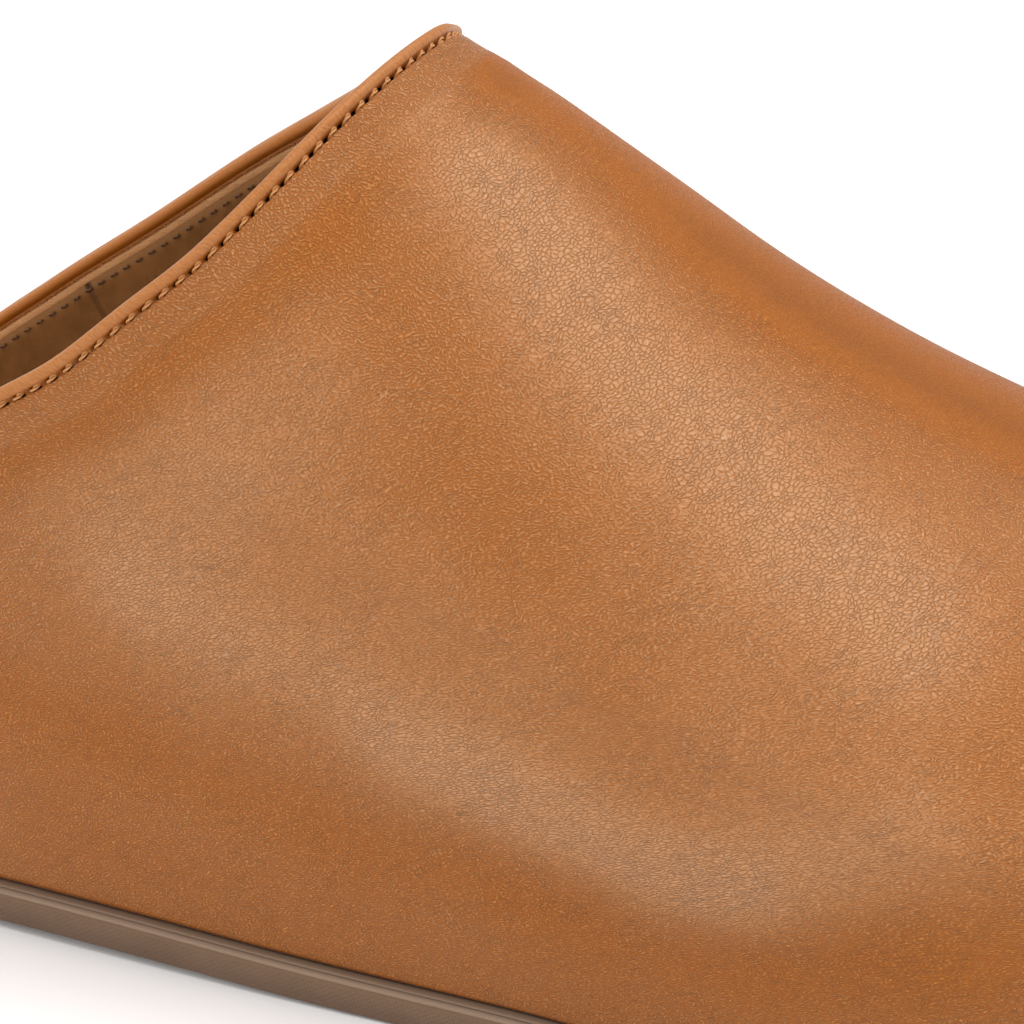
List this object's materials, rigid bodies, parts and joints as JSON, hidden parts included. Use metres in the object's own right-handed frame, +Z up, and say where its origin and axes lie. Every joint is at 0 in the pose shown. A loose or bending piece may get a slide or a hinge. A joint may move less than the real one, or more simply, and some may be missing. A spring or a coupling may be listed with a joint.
{
  "type": "slipper",
  "caption": "Backless leather slipper for a right foot: hollow one-piece upper with a peaked, rolled topline, thin ribbed rubber outsole and leather-covered insole.",
  "frame": {"origin": "middle of the bounding box on the floor plane, under the outsole", "axes": "+X towards the toe, +Z up, the lateral side towards -Y"},
  "size_m": [0.282, 0.0972, 0.097],
  "materials": {
    "upper_leather": "smooth tan leather, fine grain, satin",
    "outsole_rubber": "matt taupe rubber with a finely textured side",
    "insole_leather": "smooth tan leather, matt"
  },
  "bodies": {
    "root": {"upper": "upper_leather", "outsole": "outsole_rubber", "insole": "insole_leather"}
  },
  "joints": []
}
